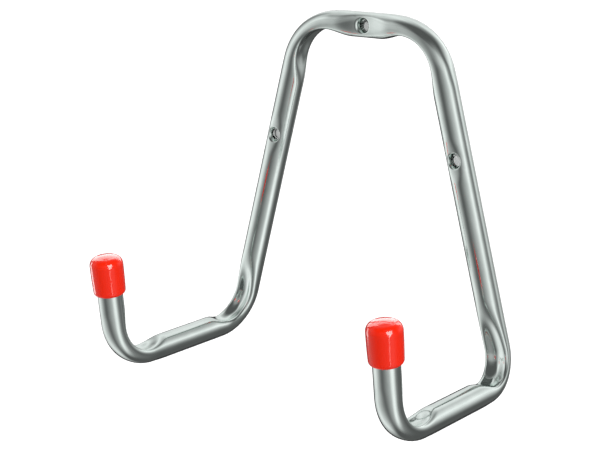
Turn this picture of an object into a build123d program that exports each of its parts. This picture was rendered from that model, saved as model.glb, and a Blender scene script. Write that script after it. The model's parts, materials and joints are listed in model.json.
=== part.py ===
from build123d import *
import os
from math import acos, cos, pi, radians, sin

# Wall rack that holds a bicycle by its top tube. One zinc-plated steel tube is bent into
# an A that lies against the wall and two arms with upturned tips. A PVC cap is pushed on
# each tip. Three screws through the tube hold the rack to the wall.
# The origin is on the wall, on the top screw's axis. +Z is up, -Y points out of the wall.

# Tube
tube_d = 20.0
wall = 1.5

# Centreline, measured from corner to corner as if the bends were sharp
top_width = 125.0
bottom_width = 267.0
height = 265.0
arm_length = 150.0
tip_length = 87.0
tip_lean = 7.0

# Bends, as radii of the centreline
top_bend_r = 43.0
root_bend_r = 29.0
tip_bend_r = 38.0

# The bending tool presses the inside of each bend flat, and the flat runs out along the
# straight stretches in an arc of its own radius.
flat_depth = 6.0
top_runout_r = 39.0
root_leg_runout_r = 70.0
root_arm_runout_r = 25.0
tip_runout_r = 27.0

# Screw holes: a shallow dish across the tube, a formed countersink in the front wall and
# a plain hole in the rear wall
leg_hole_drop = 96.0
top_dish_r = 60.0
top_dish_depth = 3.3
leg_dish_r = 50.0
leg_dish_depth = 1.2
sink_mouth_d = 12.5
sink_throat_d = 9.5
sink_depth = 2.8
screw_hole_d = 6.5

# Caps
cap_d = 26.4
cap_over_end = 2.4
cap_cover = 28.6
cap_lip_d = 25.4
cap_top_round = 6.0
cap_lip_round = 2.4

# Room by which cutting tools reach past what they cut
spare = 2.0

tube_r = tube_d / 2
lean = radians(tip_lean)
leg_slope = (bottom_width - top_width) / 2 / height
leg_hole_x = top_width / 2 + leg_slope * leg_hole_drop


def side_corners(side):
    """Corners of the centreline on one side, from the top bar to the tube's open end."""
    x = side * bottom_width / 2
    arm_end_y = -tube_r - arm_length
    tip_end_y = arm_end_y - tip_length * sin(lean)
    return [
        Vector(side * top_width / 2, -tube_r, 0),
        Vector(x, -tube_r, -height),
        Vector(x, arm_end_y, -height),
        Vector(x, tip_end_y, -height + tip_length * cos(lean)),
    ]


def centreline():
    """The whole centreline, from the left tip to the right one."""
    points = side_corners(-1)[::-1] + side_corners(1)
    one_side = [tip_bend_r, root_bend_r, top_bend_r]
    return FilletPolyline(*points, radius=one_side + one_side[::-1])


def rod(path, radius):
    """A round bar along the centreline."""
    section = Plane(origin=path @ 0, z_dir=path % 0) * Circle(radius)
    return sweep(section, path=path)


def arc(centre, radius, start, end):
    """An arc in the plane of a bend, between two angles in radians."""
    angles = (start, (start + end) / 2, end)
    return ThreePointArc(*[centre + Vector(cos(a), sin(a)) * radius for a in angles])


def press_tool(before, corner, after, bend_r, runout_radii, inset):
    """The block that flattens the inside of one bend, larger all over by inset."""
    to_before = (before - corner).normalized()
    to_after = (after - corner).normalized()
    half_turn = (pi - radians(to_before.get_angle(to_after))) / 2
    inward = (to_before + to_after).normalized()
    bend_plane = Plane(
        origin=corner + inward * (bend_r / cos(half_turn)),
        x_dir=-inward,
        z_dir=to_before.cross(to_after),
    )
    face_r = bend_r - tube_r + flat_depth
    outline = [arc(Vector(0, 0), face_r + inset, -half_turn, half_turn)]
    for side, runout_r in zip((1, -1), runout_radii):
        start = side * half_turn
        end = start + side * acos(1 - (flat_depth + spare) / runout_r)
        centre = Vector(cos(start), sin(start)) * (face_r - runout_r)
        outline.append(arc(centre, runout_r + inset, start, end))
    outline.append(Line(outline[1] @ 1, outline[2] @ 1))
    profile = make_face(Wire(outline))
    return extrude(bend_plane * profile, amount=tube_r + spare, both=True)


def press_tools(inset):
    """The blocks for all six bends."""
    tools = []
    for side in (-1, 1):
        top, root, tip, end = side_corners(side)
        middle = Vector(0, -tube_r, 0)
        tools += [
            press_tool(middle, top, root, top_bend_r, (top_runout_r, top_runout_r), inset),
            press_tool(
                top, root, tip, root_bend_r, (root_leg_runout_r, root_arm_runout_r), inset
            ),
            press_tool(root, tip, end, tip_bend_r, (tip_runout_r, tip_runout_r), inset),
        ]
    return tools


def screw_holes():
    """Each hole's place on the wall, the tube's run there, and its dish."""
    top_corner, right_root = side_corners(1)[:2]
    left_top, left_root = side_corners(-1)[:2]
    leg_z = -leg_hole_drop
    return [
        (0.0, 0.0, Vector(1, 0, 0), top_dish_r, top_dish_depth),
        (-leg_hole_x, leg_z, left_root - left_top, leg_dish_r, leg_dish_depth),
        (leg_hole_x, leg_z, right_root - top_corner, leg_dish_r, leg_dish_depth),
    ]


def dish_tool(x, z, run, dish_r, dish_depth, inset):
    """The round bar that presses a dish across the tube's front at a hole."""
    across = run.normalized().cross(Vector(0, 1, 0))
    bar = Plane(origin=(x, -tube_d + dish_depth - dish_r, z), z_dir=across)
    return bar * Cylinder(dish_r + inset, tube_d + 2 * spare)


def countersink(x, z, dish_depth, extra_r, mouth_spare):
    """A cone that narrows from the mouth in the tube's front to the throat."""
    taper = (sink_mouth_d - sink_throat_d) / 2 / sink_depth
    throat_r = sink_throat_d / 2 + extra_r
    length = sink_depth + mouth_spare
    throat = Plane(origin=(x, -tube_d + dish_depth + sink_depth, z), z_dir=(0, -1, 0))
    flare = Cone(
        throat_r,
        throat_r + taper * length,
        length,
        align=(Align.CENTER, Align.CENTER, Align.MIN),
    )
    return throat * flare


def frame_tube():
    """The bent tube: flats inside the bends, hollow throughout, with three screw holes."""
    path = centreline()
    outside = rod(path, tube_r) - press_tools(0)
    cavity = rod(path, tube_r - wall) - press_tools(wall)
    for x, z, run, dish_r, dish_depth in screw_holes():
        outside -= dish_tool(x, z, run, dish_r, dish_depth, 0)
        cavity -= dish_tool(x, z, run, dish_r, dish_depth, wall)
    tube = outside - cavity
    for x, z, run, dish_r, dish_depth in screw_holes():
        tube += countersink(x, z, dish_depth, wall, 0) & outside
        tube -= countersink(x, z, dish_depth, 0, spare)
        rear = Plane(origin=(x, 0, z), z_dir=(0, 1, 0))
        tube -= rear * Cylinder(screw_hole_d / 2, 2 * (wall + spare))
    return tube


def cap(side):
    """A dip-moulded cap: domed end, slight taper to a rolled lip, and a bore for the tube."""
    tip, end = side_corners(side)[2:]
    along_tip = Plane(origin=end, x_dir=(1, 0, 0), z_dir=end - tip)
    shoulder = cap_d / 2
    lip = cap_lip_d / 2
    outline = Polyline(
        (0, -cap_cover),
        (lip, -cap_cover),
        (shoulder, cap_over_end - cap_top_round),
        (shoulder, cap_over_end),
        (0, cap_over_end),
        close=True,
    )
    profile = make_face(outline)
    top_corner = profile.vertices().sort_by(Axis.X)[-2:].sort_by(Axis.Y)[-1]
    profile = fillet(top_corner, cap_top_round)
    lip_corner = profile.vertices().sort_by(Axis.Y)[:2].sort_by(Axis.X)[-1]
    profile = fillet(lip_corner, cap_lip_round)
    body = revolve(Plane.XZ * profile, axis=Axis.Z)
    bore = Pos(0, 0, -cap_cover) * Cylinder(
        tube_r, cap_cover, align=(Align.CENTER, Align.CENTER, Align.MIN)
    )
    return along_tip * (body - bore)


os.makedirs("parts", exist_ok=True)
tube = frame_tube()
line = centreline()
section = pi * (tube_r**2 - (tube_r - wall) ** 2)
print("tube volume", round(tube.volume), "round tube", round(section * line.length))
export_step(tube, "parts/frame_tube.step")
export_step(cap(-1), "parts/left_cap.step")
export_step(cap(1), "parts/right_cap.step")
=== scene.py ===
import json
import math

import bmesh
import bpy
from mathutils import Matrix, Vector


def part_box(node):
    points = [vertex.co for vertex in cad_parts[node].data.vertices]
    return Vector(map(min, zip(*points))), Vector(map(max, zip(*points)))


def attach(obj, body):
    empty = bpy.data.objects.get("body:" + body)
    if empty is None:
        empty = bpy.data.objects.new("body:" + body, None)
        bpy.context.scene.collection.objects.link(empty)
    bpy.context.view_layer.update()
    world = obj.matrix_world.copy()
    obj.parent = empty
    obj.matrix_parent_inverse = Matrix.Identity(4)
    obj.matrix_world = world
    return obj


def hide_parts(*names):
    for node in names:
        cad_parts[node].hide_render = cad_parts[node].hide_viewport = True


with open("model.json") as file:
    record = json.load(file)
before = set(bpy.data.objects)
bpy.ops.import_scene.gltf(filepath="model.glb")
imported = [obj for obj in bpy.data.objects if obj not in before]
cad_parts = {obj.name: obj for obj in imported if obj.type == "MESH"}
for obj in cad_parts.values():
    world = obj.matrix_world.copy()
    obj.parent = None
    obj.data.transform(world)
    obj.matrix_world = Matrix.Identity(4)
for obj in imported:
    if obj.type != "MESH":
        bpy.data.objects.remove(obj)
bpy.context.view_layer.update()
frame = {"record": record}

# ---- Frame tube ----------------------------------------------------------------------
# One length of round steel tube, bright zinc plated, bent into an A that lies on the wall
# and two arms with upturned tips. The press that bends it leaves the inside of every bend
# flat. Three screw holes are dished, countersunk and drilled through.
tube_r = 0.010
wall = 0.0015
top_bend_r = 0.043
root_bend_r = 0.029
tip_bend_r = 0.038
tip_length = 0.087
tip_lean = math.radians(7)

# The flat inside each bend. Of a pair of values, the one nearer the top bar comes first.
# middle and ends are how deep it is pressed, runouts are the radii in which it runs out
# along the straights, tilt is its slope sideways, and hollow is how far its middle sinks.
top_press = {
    "middle": 0.0070,
    "ends": (0.0032, 0.0040),
    "runouts": (0.040, 0.055),
    "tilt": (0, 0),
    "hollow": 0.0014,
}
root_press = {
    "middle": 0.0066,
    "ends": (0.0058, 0.0037),
    "runouts": (0.110, 0.040),
    "tilt": (0.07, 0.34),
    "hollow": 0.0028,
}
tip_press = {
    "middle": 0.0068,
    "ends": (0.0045, 0.0038),
    "runouts": (0.027, 0.030),
    "tilt": (0, 0),
    "hollow": 0.0024,
}

# How far a hollow reaches to each side, the rounding between flat and tube, the share by
# which the tube spreads at a flat, and how far the outside of the bend is drawn in.
hollow_reach = 0.0088
flat_shoulder = 0.0042
flat_spread = 0.02
outer_flat = 0.0011

# A dish across the tube has the radius of the bar that presses it, and a depth.
top_dish = (0.060, 0.0033)
leg_dish = (0.050, 0.0012)
dish_softness = 0.0025
dish_surround = 0.04

# A countersink narrows by its flare to the throat, then goes on inwards as a collar.
sink_throat_r = 0.00475
sink_depth = 0.0028
sink_flare = 0.54
sink_softness = 0.0012
sink_steps = 9
collar_depth = 0.0034
collar_taper = 0.10
collar_steps = 5
screw_hole_r = 0.00325

# Points round the tube, the pitch of its rings at a hole, on a straight and in a bend,
# the gap in which points are merged, and the turn past which an edge is sharp.
ring_points = 72
hole_pitch = 0.00086
run_pitch = 0.0021
bend_pitch = 0.0018
merge_gap = 1e-6
sharp_edge = math.radians(40)

# Round a hole the grid of faces is eased into a circle: how many steps of the grid from
# the middle its rim is, how many steps out the grid is even again, and the rim's radius.
front_ease = {"rim": 8, "even": 14, "radius": 0.0070}
rear_ease = {"rim": 3, "even": 8, "radius": screw_hole_r}
hole_surround = 0.03
step_slack = 0.01

tube_low, tube_high = [Vector(corner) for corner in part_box("frame_tube")]
mounts = {mount["name"]: mount for mount in frame["record"]["mounts"]}
top_hole = Vector(mounts["top_screw"]["pos_m"])
leg_hole = Vector(mounts["leg_screws"]["pos_m"])
leg_hole.x = mounts["leg_screws"]["dims"]["spacing_x_mm"] / 2 / 1000

# Corners of the right half of the centreline, as if the bends were sharp.
bar_middle = Vector((0, -tube_r, top_hole.z))
root = Vector((tube_high.x - tube_r, -tube_r, tube_low.z + tube_r))
leg_slope = (root.x - leg_hole.x) / (leg_hole.z - root.z)
shoulder = Vector((root.x - leg_slope * (top_hole.z - root.z), -tube_r, top_hole.z))
tip_y = tube_low.y + tip_length * math.sin(tip_lean) + tube_r * math.cos(tip_lean)
elbow = Vector((root.x, tip_y, root.z))
tip_way = Vector((0, -math.sin(tip_lean), math.cos(tip_lean)))
tube_end = elbow + tip_way * tip_length
bar_way = Vector((1, 0, 0))
leg_way = (root - shoulder).normalized()


def bend_at(before, corner, after, radius, press):
    """Where a bend's centre and ends are, which way its flat faces, how far it turns."""
    to_before = (before - corner).normalized()
    to_after = (after - corner).normalized()
    half_turn = (math.pi - to_before.angle(to_after)) / 2
    setback = radius * math.tan(half_turn)
    outward = -(to_before + to_after).normalized()
    axis = to_after.cross(to_before).normalized()
    return {
        "corner": corner,
        "centre": corner - outward * (radius / math.cos(half_turn)),
        "start": corner + to_before * setback,
        "end": corner + to_after * setback,
        "outward": outward,
        "axis": axis,
        "sideways": outward.cross(axis),
        "half_turn": half_turn,
        "radius": radius,
        "press": press,
    }


top_bend = bend_at(bar_middle, shoulder, root, top_bend_r, top_press)
root_bend = bend_at(shoulder, root, elbow, root_bend_r, root_press)
tip_bend = bend_at(root, elbow, tube_end, tip_bend_r, tip_press)
bends = (top_bend, root_bend, tip_bend)

# The right half is drawn from the middle of the top bar, as a circle that faces along X.
# Each point keeps its place along the tube and round it, for the zinc's streaks.
tube = bmesh.new()
along = tube.verts.layers.float.new("along")
around_x = tube.verts.layers.float.new("around_x")
around_y = tube.verts.layers.float.new("around_y")
facing_x = Matrix(((0, 0, 1, 0), (-1, 0, 0, -tube_r), (0, -1, 0, 0), (0, 0, 0, 1)))
bmesh.ops.create_circle(tube, segments=ring_points, radius=tube_r, matrix=facing_x)
for vert in tube.verts:
    vert[around_x] = vert.co.y + tube_r
    vert[around_y] = vert.co.z


def draw_straight(rim, drawn, start, end, pitch):
    """Carries the open rim along a straight run, and adds the run to the length drawn."""
    length = (end - start).length
    run = (end - start).normalized()
    steps = max(1, round(length / pitch))
    made = len(tube.verts)
    swept = bmesh.ops.spin(
        tube, geom=rim, cent=start, axis=run, dvec=run * (length / steps), angle=0, steps=steps
    )
    tube.verts.ensure_lookup_table()
    for vert in tube.verts[made:]:
        vert[along] = drawn + (vert.co - start).dot(run)
    return swept["geom_last"], drawn + length


def draw_bend(rim, drawn, bend):
    """Carries the open rim round a bend, and adds the bend to the length drawn."""
    turn = 2 * bend["half_turn"]
    steps = round(turn * bend["radius"] / bend_pitch)
    made = len(tube.verts)
    swept = bmesh.ops.spin(
        tube, geom=rim, cent=bend["centre"], axis=bend["axis"], angle=turn, steps=steps
    )
    tube.verts.ensure_lookup_table()
    for vert in tube.verts[made:]:
        offset = vert.co - bend["centre"]
        angle = math.atan2(offset.dot(bend["sideways"]), offset.dot(bend["outward"]))
        vert[along] = drawn + (bend["half_turn"] - angle) * bend["radius"]
    return swept["geom_last"], drawn + turn * bend["radius"]


fine_length = front_ease["even"] * hole_pitch
past_top_hole = bar_middle + bar_way * fine_length
hole_on_leg = Vector((leg_hole.x, -tube_r, leg_hole.z))
above_leg_hole = hole_on_leg - leg_way * fine_length
below_leg_hole = hole_on_leg + leg_way * fine_length

rim = tube.verts[:] + tube.edges[:]
rim, drawn = draw_straight(rim, 0.0, bar_middle, past_top_hole, hole_pitch)
rim, drawn = draw_straight(rim, drawn, past_top_hole, top_bend["start"], run_pitch)
rim, drawn = draw_bend(rim, drawn, top_bend)
rim, drawn = draw_straight(rim, drawn, top_bend["end"], above_leg_hole, run_pitch)
rim, drawn = draw_straight(rim, drawn, above_leg_hole, below_leg_hole, hole_pitch)
rim, drawn = draw_straight(rim, drawn, below_leg_hole, root_bend["start"], run_pitch)
rim, drawn = draw_bend(rim, drawn, root_bend)
rim, drawn = draw_straight(rim, drawn, root_bend["end"], tip_bend["start"], run_pitch)
rim, drawn = draw_bend(rim, drawn, tip_bend)
draw_straight(rim, drawn, tip_bend["end"], tube_end, run_pitch)


def smooth_share(value):
    """A value kept between 0 and 1, eased at both ends."""
    value = min(max(value, 0), 1)
    return value * value * (3 - 2 * value)


def soft_max(first, second, width):
    """The larger of two lengths, rounded where they are within a width of each other."""
    blend = max(width - abs(first - second), 0) / width
    return max(first, second) + blend * blend * width / 4


def make_room(hole, run, front, ease):
    """Eases the grid round a hole into a circle, on the front (1) or the rear (-1)."""
    across = run.cross(Vector((0, 1, 0)))
    turn_step = 2 * math.pi / ring_points
    for vert in tube.verts:
        offset = vert.co - hole
        height = -(vert.co.y + tube_r) * front
        if height <= 0 or offset.length > hole_surround:
            continue
        rings = offset.dot(run) / hole_pitch
        columns = math.atan2(offset.dot(across), height) / turn_step
        steps = max(abs(rings), abs(columns))
        if steps >= ease["even"] - step_slack or steps < step_slack:
            continue
        share = smooth_share((ease["even"] - steps) / (ease["even"] - ease["rim"]))
        radius = steps / ease["rim"] * ease["radius"]
        spoke = Vector((rings, columns)).normalized() * radius
        length = offset.dot(run) * (1 - share) + spoke.x * share
        width = offset.dot(across) * (1 - share) + spoke.y * share
        vert.co = hole + run * length + across * width
        vert.co.y = -tube_r - front * math.sqrt(tube_r**2 - width**2)
        vert[along] += length - offset.dot(run)


make_room(top_hole, bar_way, 1, front_ease)
make_room(top_hole, bar_way, -1, rear_ease)
make_room(leg_hole, leg_way, 1, front_ease)
make_room(leg_hole, leg_way, -1, rear_ease)


def press_depth(bend, station):
    """How deep the flat is at a distance along the tube from the middle of the bend."""
    press = bend["press"]
    end = 0 if station > 0 else 1
    half = bend["half_turn"] * bend["radius"]
    fall = press["middle"] - press["ends"][end]
    beyond = abs(station) - half
    if beyond <= 0:
        return press["middle"] - fall * (station / half) ** 2
    slope = 2 * fall / half
    return press["ends"][end] - slope * beyond - beyond**2 / (2 * press["runouts"][end])


def press_flat(vert, bend):
    """Presses a hollowed flat inside a bend, where the tube also spreads sideways."""
    press = bend["press"]
    offset = vert.co - bend["centre"]
    side = offset.dot(bend["axis"])
    angle = math.atan2(offset.dot(bend["sideways"]), offset.dot(bend["outward"]))
    turn = min(max(angle, -bend["half_turn"]), bend["half_turn"])
    spoke = bend["outward"] * math.cos(turn) + bend["sideways"] * math.sin(turn)
    run = bend["sideways"] * math.cos(turn) - bend["outward"] * math.sin(turn)
    beyond = offset.dot(run)
    depth = press_depth(bend, turn * bend["radius"] + beyond)
    share = smooth_share(depth / press["middle"])
    wave = (1 + math.cos(math.pi * min(abs(side) / hollow_reach, 1))) / 2
    before, after = press["tilt"]
    tilt = after + (before - after) * (1 + turn / bend["half_turn"]) / 2
    face = tube_r - depth - press["hollow"] * share * wave + tilt * share * side
    inward = -soft_max(offset.dot(spoke) - bend["radius"], -face, flat_shoulder)
    if inward < 0:
        inward += outer_flat * share * (inward / tube_r) ** 4
    vert.co = (
        bend["centre"]
        + spoke * (bend["radius"] - inward)
        + run * beyond
        + bend["axis"] * side * (1 + flat_spread * share)
    )


for vert in tube.verts:
    press_flat(vert, min(bends, key=lambda bend: (vert.co - bend["corner"]).length))


def dish_floor(length, dish):
    """Where the dish's floor is in Y, at a distance along the tube from the hole."""
    dish_r, depth = dish
    return -2 * tube_r + depth - dish_r + math.sqrt(max(dish_r**2 - length**2, 0))


def press_dish(hole, run, dish):
    """Presses a shallow dish across the front of the tube."""
    for vert in tube.verts:
        offset = vert.co - hole
        if offset.length > dish_surround or vert.co.y > -tube_r:
            continue
        vert.co.y = soft_max(vert.co.y, dish_floor(offset.dot(run), dish), dish_softness)


press_dish(top_hole, bar_way, top_dish)
press_dish(leg_hole, leg_way, leg_dish)

right_half = tube.verts[:] + tube.edges[:] + tube.faces[:]
bmesh.ops.mirror(tube, geom=right_half, merge_dist=merge_gap, axis="X")
for vert in tube.verts:
    if vert.co.x < 0:
        vert[along] = -vert[along]
bmesh.ops.recalc_face_normals(tube, faces=tube.faces)


def open_hole(hole, front, radius):
    """Takes out the faces over a hole and gives the loop of edges that is left."""
    inside = []
    for face in tube.faces:
        middle = face.calc_center_median()
        reach = math.hypot(middle.x - hole.x, middle.z - hole.z)
        if (middle.y + tube_r) * front < 0 and reach < radius:
            inside.append(face)
    border = {
        edge for face in inside for edge in face.edges
        if any(other not in inside for other in edge.link_faces)
    }
    bmesh.ops.delete(tube, geom=inside, context="FACES")
    return [edge for edge in border if edge.is_valid]


def next_ring(border):
    """Extrudes the open edge of a hole, and gives the new edge and its points."""
    made = bmesh.ops.extrude_edge_only(tube, edges=border)["geom"]
    edges = [part for part in made if isinstance(part, bmesh.types.BMEdge)]
    points = [part for part in made if isinstance(part, bmesh.types.BMVert)]
    return edges, points


def spoke_to(vert, hole, radius):
    """The way from a hole's axis towards a point on its edge, as long as a radius."""
    return Vector((vert.co.x - hole.x, 0, vert.co.z - hole.z)).normalized() * radius


def sink(hole, run, dish):
    """Forms a countersink: the hole's edge is drawn in down a cone, then as a collar."""
    across = run.cross(Vector((0, 1, 0)))
    rim_r = front_ease["radius"]
    throat_y = -2 * tube_r + dish[1] + sink_depth
    border = open_hole(hole, 1, rim_r)
    for step in range(1, sink_steps + 1):
        radius = rim_r + (sink_throat_r - rim_r) * step / sink_steps
        cone = throat_y - (radius - sink_throat_r) / sink_flare
        border, ring = next_ring(border)
        for vert in ring:
            spoke = spoke_to(vert, hole, radius)
            skin = -tube_r - math.sqrt(tube_r**2 - spoke.dot(across) ** 2)
            skin = soft_max(skin, dish_floor(spoke.dot(run), dish), dish_softness)
            vert.co = hole + spoke
            vert.co.y = soft_max(skin, cone, sink_softness)
    for step in range(1, collar_steps + 1):
        share = step / collar_steps
        border, ring = next_ring(border)
        for vert in ring:
            spoke = spoke_to(vert, hole, sink_throat_r)
            vert.co = hole + spoke * (1 - collar_taper * math.sqrt(share))
            vert.co.y = throat_y + sink_softness / 4 + collar_depth * share


left_leg_hole = Vector((-leg_hole.x, leg_hole.y, leg_hole.z))
left_leg_way = Vector((-leg_way.x, leg_way.y, leg_way.z))
sink(top_hole, bar_way, top_dish)
sink(leg_hole, leg_way, leg_dish)
sink(left_leg_hole, left_leg_way, leg_dish)
for hole in (top_hole, leg_hole, left_leg_hole):
    open_hole(hole, -1, screw_hole_r)

# The wall is built inwards from the plated skin, so the skin's faces come first.
bmesh.ops.recalc_face_normals(tube, faces=tube.faces)
plated = len(tube.faces)
bmesh.ops.solidify(tube, geom=tube.faces[:], thickness=wall)
tube.faces.ensure_lookup_table()
for face in tube.faces:
    face.smooth = True
for face in tube.faces[plated:]:
    face.material_index = 1
for edge in tube.edges:
    edge.smooth = edge.calc_face_angle(0) < sharp_edge
tube_mesh = bpy.data.meshes.new("zinc_tube")
tube.to_mesh(tube_mesh)
tube.free()
zinc_tube = bpy.data.objects.new("zinc_tube", tube_mesh)
bpy.context.collection.objects.link(zinc_tube)

# Bright zinc plate: fine streaks drawn out along the tube set its roughness and a faint
# ripple, and broad clouds set its tone.
zinc_dark = (0.724, 0.80, 0.769, 1)
zinc_light = (0.818, 0.89, 0.861, 1)
zinc_smoothest = 0.07
zinc_roughest = 0.16
ripple_strength = 0.25
ripple_height = 0.00003
noise_low = 0.3
noise_high = 0.7

zinc = bpy.data.materials.new("bright_zinc_plate")
zinc.use_nodes = True
zinc_nodes = zinc.node_tree.nodes
zinc_links = zinc.node_tree.links


def grain(along_scale, around_scale, detail):
    """Noise on the tube's own length and girth, so that it is drawn out along the tube."""
    scales = {"along": along_scale, "around_x": around_scale, "around_y": around_scale}
    place = zinc_nodes.new("ShaderNodeCombineXYZ")
    for slot, (layer, scale) in zip(place.inputs, scales.items()):
        source = zinc_nodes.new("ShaderNodeAttribute")
        source.attribute_name = layer
        product = zinc_nodes.new("ShaderNodeMath")
        product.operation = "MULTIPLY"
        zinc_links.new(source.outputs["Fac"], product.inputs[0])
        product.inputs[1].default_value = scale
        zinc_links.new(product.outputs[0], slot)
    noise = zinc_nodes.new("ShaderNodeTexNoise")
    noise.inputs["Scale"].default_value = 1
    noise.inputs["Detail"].default_value = detail
    zinc_links.new(place.outputs[0], noise.inputs["Vector"])
    return noise.outputs["Fac"]


def spread(value, low, high):
    """Stretches noise from its usual span to the span that a setting needs."""
    node = zinc_nodes.new("ShaderNodeMapRange")
    node.inputs["From Min"].default_value = noise_low
    node.inputs["From Max"].default_value = noise_high
    node.inputs["To Min"].default_value = low
    node.inputs["To Max"].default_value = high
    zinc_links.new(value, node.inputs["Value"])
    return node.outputs[0]


streaks = grain(along_scale=25, around_scale=900, detail=3)
clouds = grain(along_scale=60, around_scale=120, detail=2)
tone = zinc_nodes.new("ShaderNodeMix")
tone.data_type = "RGBA"
tone.inputs["A"].default_value = zinc_dark
tone.inputs["B"].default_value = zinc_light
zinc_links.new(spread(clouds, 0, 1), tone.inputs["Factor"])
ripple = zinc_nodes.new("ShaderNodeBump")
ripple.inputs["Strength"].default_value = ripple_strength
ripple.inputs["Distance"].default_value = ripple_height
zinc_links.new(streaks, ripple.inputs["Height"])

plate = zinc_nodes["Principled BSDF"]
plate.inputs["Metallic"].default_value = 1
zinc_links.new(tone.outputs["Result"], plate.inputs["Base Color"])
zinc_links.new(spread(streaks, zinc_smoothest, zinc_roughest), plate.inputs["Roughness"])
zinc_links.new(ripple.outputs[0], plate.inputs["Normal"])
tube_mesh.materials.append(zinc)

# The inside of the tube gets little plating, so it is dull and pale.
dull = bpy.data.materials.new("dull_steel_inside")
dull.use_nodes = True
inside_wall = dull.node_tree.nodes["Principled BSDF"]
inside_wall.inputs["Roughness"].default_value = 0.4
inside_wall.inputs["Base Color"].default_value = (0.80, 0.82, 0.81, 1)
tube_mesh.materials.append(dull)

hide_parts("frame_tube")
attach(zinc_tube, "root")

# ---- Tip caps -------------------------------------------------------------------------
# A push-on cap of soft glossy red PVC on each tip, dip-moulded. Its closed end is gently
# domed with a large round edge, it swells a little towards that end, and its lip is rolled
# in. The tube goes all the way up inside it.
cap_r = 0.0132
cap_lip_r = 0.0127
cap_lip_round = 0.0031
cap_cover = 0.0286
cap_top = 0.0036
cap_dome = 0.0010
cap_edge_round = 0.0066
cap_edge_turn = 82
cap_bore_r = 0.01002
bore_end = -0.0001
bore_end_round = 0.0008
bore_lip_round = 0.0004
bore_steps = 6
side_steps = 14
dome_steps = 8
cap_columns = 72

red_pvc = bpy.data.materials.new("gloss_red_pvc")
red_pvc.use_nodes = True
gloss = red_pvc.node_tree.nodes["Principled BSDF"]
gloss.inputs["Base Color"].default_value = (0.64, 0.014, 0.002, 1)
gloss.inputs["Roughness"].default_value = 0.12
gloss.inputs["Specular IOR Level"].default_value = 0.35


def round_corner(centre, radius, start, end, steps):
    """Points of the cap's outline round a corner, angles in degrees from straight out."""
    points = []
    for step in range(steps + 1):
        angle = math.radians(start + (end - start) * step / steps)
        across = centre[0] + radius * math.cos(angle)
        points.append((across, centre[1] + radius * math.sin(angle)))
    return points


def cap_outline():
    """Half of the cap's section, as radius and height from the tube's end."""
    floor_r = cap_bore_r - bore_end_round
    outline = [(0, bore_end), (floor_r, bore_end)]
    corner = (floor_r, bore_end - bore_end_round)
    outline += round_corner(corner, bore_end_round, 90, 0, 4)[1:]
    outline += [(cap_bore_r, -cap_cover * part / bore_steps) for part in range(1, bore_steps)]
    corner = (cap_bore_r + bore_lip_round, bore_lip_round - cap_cover)
    outline += round_corner(corner, bore_lip_round, 180, 270, 4)
    corner = (cap_lip_r - cap_lip_round, cap_lip_round - cap_cover)
    outline += round_corner(corner, cap_lip_round, -90, 0, 12)
    side_low = cap_lip_round - cap_cover
    side_top = cap_top - cap_dome - cap_edge_round
    for part in range(1, side_steps):
        rise = part / side_steps
        swell = (cap_r - cap_lip_r) * rise * (2 - rise)
        outline.append((cap_lip_r + swell, side_low + (side_top - side_low) * rise))
    corner = (cap_r - cap_edge_round, side_top)
    outline += round_corner(corner, cap_edge_round, 0, cap_edge_turn, 18)
    edge_r, edge_h = outline[-1]
    for part in range(1, dome_steps + 1):
        reach = 1 - part / dome_steps
        outline.append((edge_r * reach, edge_h + (cap_top - edge_h) * (1 - reach * reach)))
    return outline


def tip_cap(name, end, way):
    """One cap, spun from its outline round the tip's axis at the tube's end."""
    cap = bmesh.new()
    level = Vector((1, 0, 0))
    verts = [cap.verts.new(end + level * radius + way * height) for radius, height in cap_outline()]
    edges = [cap.edges.new(pair) for pair in zip(verts, verts[1:])]
    bmesh.ops.spin(
        cap, geom=verts + edges, cent=end, axis=way,
        angle=2 * math.pi, steps=cap_columns, use_merge=True,
    )
    bmesh.ops.remove_doubles(cap, verts=cap.verts, dist=merge_gap)
    bmesh.ops.recalc_face_normals(cap, faces=cap.faces)
    for face in cap.faces:
        face.smooth = True
    mesh = bpy.data.meshes.new(name)
    cap.to_mesh(mesh)
    cap.free()
    mesh.materials.append(red_pvc)
    piece = bpy.data.objects.new(name, mesh)
    bpy.context.collection.objects.link(piece)
    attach(piece, "root")
    return piece


left_end = Vector((-tube_end.x, tube_end.y, tube_end.z))
right_red_cap = tip_cap("right_red_cap", tube_end, tip_way)
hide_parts("right_cap")
left_red_cap = tip_cap("left_red_cap", left_end, tip_way)
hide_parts("left_cap")

# ---- Camera ---------------------------------------------------------------------------
# The camera looks at a point near the middle of the rack, from the right and a little
# above, through a long lens from 1.2 m away.
look_at = Vector((-0.02737, -0.060, -0.15563))
stand_off = 1.20506
focal_length = 91.33
sensor_width = 36


def way_to(turn, lift):
    """A direction, in degrees to the right of straight out of the wall, and upwards."""
    turn = math.radians(turn)
    lift = math.radians(lift)
    level = math.cos(lift)
    return Vector((math.sin(turn) * level, -math.cos(turn) * level, math.sin(lift)))


to_camera = way_to(38.57, 14.04)
camera = bpy.data.objects.new("camera", bpy.data.cameras.new("camera"))
bpy.context.collection.objects.link(camera)
camera.location = look_at + to_camera * stand_off
camera.rotation_euler = to_camera.to_track_quat("Z", "Y").to_euler()
camera.data.sensor_width = sensor_width
camera.data.lens = focal_length
bpy.context.scene.camera = camera

# ---- Studio ---------------------------------------------------------------------------
# Soft light panels hang all round the rack, and its bright zinc reflects them. They are
# part of the world's light, which is dim between them. The camera itself sees plain white.
room_light = 0.10
least_light = 0.05

world = bpy.data.worlds.new("studio")
bpy.context.scene.world = world
world.use_nodes = True
sky = world.node_tree
sky.nodes.clear()
looking = sky.nodes.new("ShaderNodeTexCoord").outputs["Generated"]


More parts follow.
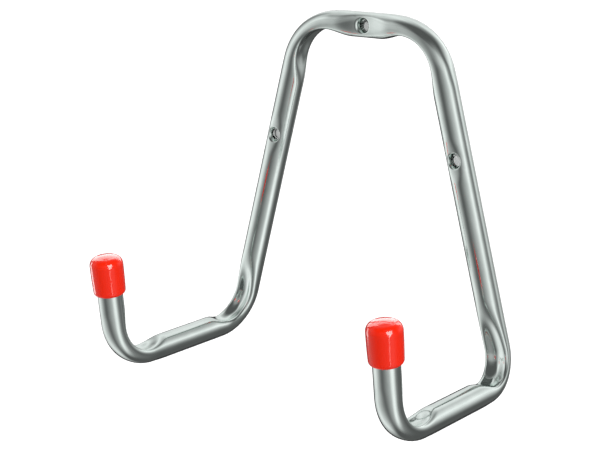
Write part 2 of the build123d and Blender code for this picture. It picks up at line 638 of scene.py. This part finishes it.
def sky_math(operation, first, second=0.5):
    """One sum in the studio's light, on numbers or on other sums."""
    node = sky.nodes.new("ShaderNodeMath")
    node.operation = operation
    for slot, value in zip(node.inputs, (first, second)):
        if isinstance(value, bpy.types.NodeSocket):
            sky.links.new(value, slot)
        else:
            slot.default_value = value
    return node.outputs[0]


def part_along(way):
    """How much of the direction looked in lies along a way."""
    node = sky.nodes.new("ShaderNodeVectorMath")
    node.operation = "DOT_PRODUCT"
    sky.links.new(looking, node.inputs[0])
    node.inputs[1].default_value = way
    return node.outputs["Value"]


def soft_edge(angle, half_width, softness):
    """1 inside a half-width in degrees either way, fading to 0 over its soft edge."""
    node = sky.nodes.new("ShaderNodeMapRange")
    node.interpolation_type = "SMOOTHSTEP"
    sky.links.new(sky_math("ABSOLUTE", angle), node.inputs["Value"])
    node.inputs["From Min"].default_value = math.radians(half_width - softness)
    node.inputs["From Max"].default_value = math.radians(half_width + softness)
    node.inputs["To Min"].default_value = 1
    node.inputs["To Max"].default_value = 0
    return node.outputs[0]


def softbox(turn, lift, roll, width, width_edge, height, height_edge, strength):
    """One panel: where it hangs, its roll, its half sizes and their soft edges, in degrees."""
    facing = way_to(turn, lift)
    level = way_to(turn + 90, 0)
    roll = math.radians(roll)
    rightward = level * math.cos(roll) + level.cross(facing) * math.sin(roll)
    upward = rightward.cross(facing)
    sideways = sky_math("ARCTAN2", part_along(rightward), part_along(facing))
    across = soft_edge(sideways, width, width_edge)
    up = soft_edge(sky_math("ARCSINE", part_along(upward)), height, height_edge)
    return sky_math("MULTIPLY", sky_math("MULTIPLY", across, up), strength)


# The last panel is a dark one, which takes light away.
light = room_light
for panel in (
    softbox(-69, -17, 16, 16, 49, 58, 12, 1.13),
    softbox(63, -12, -18, 18, 60, 57, 17, 0.73),
    softbox(155, 18, -12, 26, 11, 11, 29, 1.28),
    softbox(-151, 15, 2, 29, 14, 39, 13, 0.72),
    softbox(-114, 62, 24, 7, 60, 9, 24, 1.94),
    softbox(32, 26, -6, 80, 55, 12, 5, 0.14),
    softbox(-87, -13, 40, 9, 9, 3, 23, 0.90),
    softbox(82, -15, -10, 14, 15, 45, 23, 0.54),
    softbox(-141, -19, 0, 28, 8, 24, 7, -0.9),
):
    light = sky_math("ADD", panel, light)

seen = sky.nodes.new("ShaderNodeLightPath").outputs["Is Camera Ray"]
brightness = sky_math("MAXIMUM", sky_math("MAXIMUM", light, least_light), seen)
background = sky.nodes.new("ShaderNodeBackground")
background.inputs["Color"].default_value = (1, 1, 1, 1)
sky.links.new(brightness, background.inputs["Strength"])
sky.links.new(background.outputs[0], sky.nodes.new("ShaderNodeOutputWorld").inputs[0])
bpy.context.scene.view_settings.view_transform = "Standard"

# ---- Lamps ----------------------------------------------------------------------------
# Two distant lamps don't show in gloss. The fill lamp lights every piece, and the frontal
# one only the tube, for the dull inside of its holes. Five panels show in the caps' gloss.
panel_distance = 3
tube_only = bpy.data.collections.new("tube only")
tube_only.objects.link(zinc_tube)
caps_only = bpy.data.collections.new("caps only")
for cap in (right_red_cap, left_red_cap):
    caps_only.objects.link(cap)


def distant_lamp(name, strength, size, tip, turn):
    """A lamp like the sun, tipped from straight above and turned, in degrees."""
    lamp = bpy.data.objects.new(name, bpy.data.lights.new(name, "SUN"))
    bpy.context.collection.objects.link(lamp)
    lamp.data.energy = strength
    lamp.data.angle = math.radians(size)
    lamp.rotation_euler = (math.radians(tip), 0, math.radians(turn))
    lamp.visible_glossy = False
    return lamp


def panel_light(name, turn, lift, width, height, radiance):
    """A panel that shows only in the gloss of the caps, its place and size in degrees."""
    way = way_to(turn, lift)
    lamp = bpy.data.objects.new(name, bpy.data.lights.new(name, "AREA"))
    bpy.context.collection.objects.link(lamp)
    lamp.data.shape = "RECTANGLE"
    lamp.data.size = 2 * panel_distance * math.tan(math.radians(width / 2))
    lamp.data.size_y = 2 * panel_distance * math.tan(math.radians(height / 2))
    lamp.data.energy = radiance * math.pi * lamp.data.size * lamp.data.size_y
    lamp.location = look_at + way * panel_distance
    lamp.rotation_euler = way.to_track_quat("Z", "Y").to_euler()
    lamp.visible_diffuse = False
    lamp.visible_camera = False
    lamp.light_linking.receiver_collection = caps_only


distant_lamp("fill", strength=3.7, size=40, tip=35, turn=62)
frontal = distant_lamp("frontal", strength=1.7, size=6, tip=76, turn=31)
frontal.light_linking.receiver_collection = tube_only
panel_light("window", turn=65, lift=24, width=30, height=42, radiance=16)
panel_light("window_foot", turn=65, lift=-8, width=12, height=22, radiance=16)
panel_light("streak", turn=64, lift=-28, width=4, height=12, radiance=5.5)
panel_light("strip", turn=-84, lift=-4, width=15, height=44, radiance=5)
panel_light("overhead", turn=-141, lift=31, width=80, height=40, radiance=4.2)

# ---- Floor ----------------------------------------------------------------------------
# A plain pale floor, far below the rack, which hangs on a wall. It isn't seen in gloss, so
# the zinc reflects the studio's panels from below as well.
floor_half_size = 40
floor_height = -1.5

sheet = bmesh.new()
place = Matrix.Translation((0, 0, floor_height))
bmesh.ops.create_grid(sheet, x_segments=1, y_segments=1, size=floor_half_size, matrix=place)
floor_mesh = bpy.data.meshes.new("floor")
sheet.to_mesh(floor_mesh)
sheet.free()
floor = bpy.data.objects.new("floor", floor_mesh)
bpy.context.collection.objects.link(floor)
pale = bpy.data.materials.new("pale_floor")
pale.use_nodes = True
matt = pale.node_tree.nodes["Principled BSDF"]
matt.inputs["Base Color"].default_value = (0.90, 0.90, 0.90, 1)
matt.inputs["Roughness"].default_value = 1
matt.inputs["Specular IOR Level"].default_value = 0
floor_mesh.materials.append(pale)
floor.visible_glossy = False
